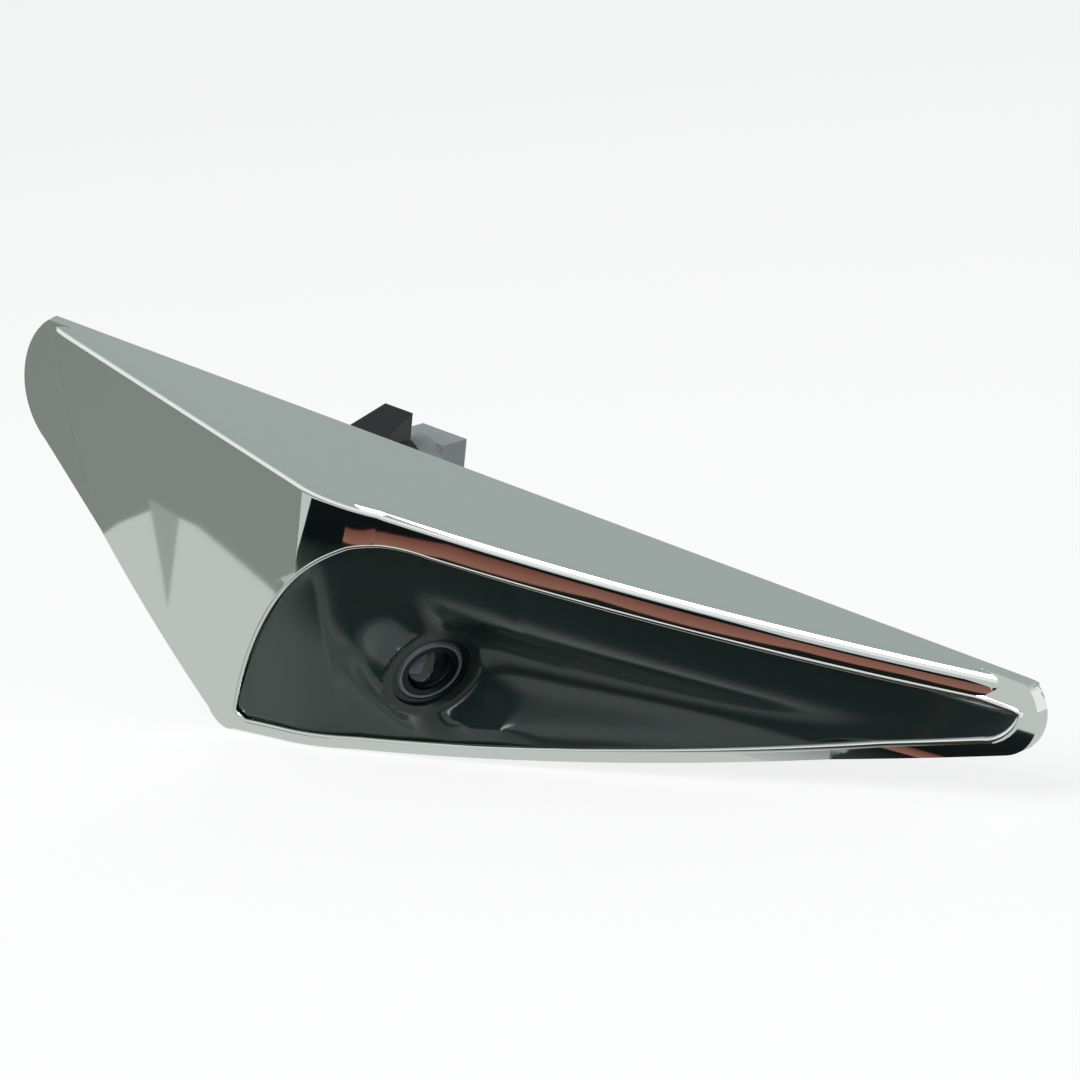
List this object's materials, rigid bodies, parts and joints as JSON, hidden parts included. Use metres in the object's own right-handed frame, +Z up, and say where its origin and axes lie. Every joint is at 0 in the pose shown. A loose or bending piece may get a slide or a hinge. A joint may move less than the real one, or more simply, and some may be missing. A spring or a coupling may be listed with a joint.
{
  "type": "backup camera",
  "caption": "Chrome wedge housing for a vehicle's outer panel, with a black pod for a rear-facing camera, a sealed neck and a plug socket behind.",
  "frame": {"origin": "axis of the front locating peg, in the mounting plane (the gasket's back face)", "axes": "+Y into the vehicle along the locating pegs and the neck, -Y outward, +Z up, +X along the part from its front tip to its tail; the top edge falls 15 degrees towards +X, as it does in the picture"},
  "size_m": [0.1535, 0.0494, 0.0531],
  "materials": {
    "chrome_plating": "mirror polished",
    "gloss_black": "polished",
    "base_plastic": "moulded",
    "gasket_foam": "closed cell foam",
    "seal_rubber": "moulded",
    "cover_plastic": "moulded",
    "vent_film": "expanded membrane",
    "screw_steel": "zinc plated",
    "lens_ring_black": "satin",
    "barrel_metal": "black anodised",
    "retainer_metal": "anodised",
    "lens_glass": "coated",
    "filter_glass": "coated",
    "spacer_metal": "black anodised",
    "camera_plastic": "moulded",
    "can_metal": "die cast",
    "board_green": "solder resist",
    "chip_epoxy": "moulded",
    "sensor_die": "polished",
    "header_plastic": "moulded",
    "connector_grey": "moulded",
    "terminal_brass": "tin flashed",
    "lock_black": "moulded",
    "lead_jacket": "extruded",
    "spring_steel": "bright"
  },
  "bodies": {
    "housing": {"chrome_housing": "chrome_plating", "camera_bezel": "gloss_black", "base_plate": "base_plastic", "mounting_gasket": "gasket_foam", "neck_cover_seal": "seal_rubber", "neck_cover": "cover_plastic", "vent_membrane": "vent_film", "housing_screws": "screw_steel", "bezel_screws": "screw_steel", "cover_screws": "screw_steel", "camera_screws": "screw_steel", "lens_seal_ring": "lens_ring_black", "lens_barrel": "barrel_metal", "lens_retaining_ring": "retainer_metal", "front_lens": "lens_glass", "middle_lens": "lens_glass", "rear_lens": "lens_glass", "front_lens_spacer": "spacer_metal", "rear_lens_spacer": "spacer_metal", "infrared_filter": "filter_glass", "camera_front_housing": "camera_plastic", "camera_rear_housing": "can_metal", "camera_body_seal": "seal_rubber", "sensor_board": "board_green", "processor_board": "board_green", "image_sensor": "sensor_die", "sensor_cover_glass": "filter_glass", "image_processor": "chip_epoxy", "board_connector": "header_plastic", "front_board_spacer": "spacer_metal", "middle_board_spacer": "spacer_metal", "rear_board_spacer": "spacer_metal", "lead_socket": "header_plastic", "lead_plug": "header_plastic", "connector_housing": "connector_grey", "connector_terminals": "terminal_brass", "lead_seal": "seal_rubber", "camera_lead": "lead_jacket", "spring_pin": "spring_steel"},
    "retainer": {"retaining_spring": "spring_steel"},
    "lock": {"connector_lock": "lock_black"}
  },
  "joints": [
    {"name": "retainer_flex", "type": "hinge", "parent": "housing", "child": "retainer", "pos_m": [0.05457, 0.0076, -0.01618], "axis": [0.2588, 0, 0.9659], "range_deg": [-18, 0], "stiffness_Nm_per_rad": 0.05},
    {"name": "lock_slide", "type": "slide", "parent": "housing", "child": "lock", "axis": [0, 1, 0], "range_m": [0, 0.0025]}
  ]
}
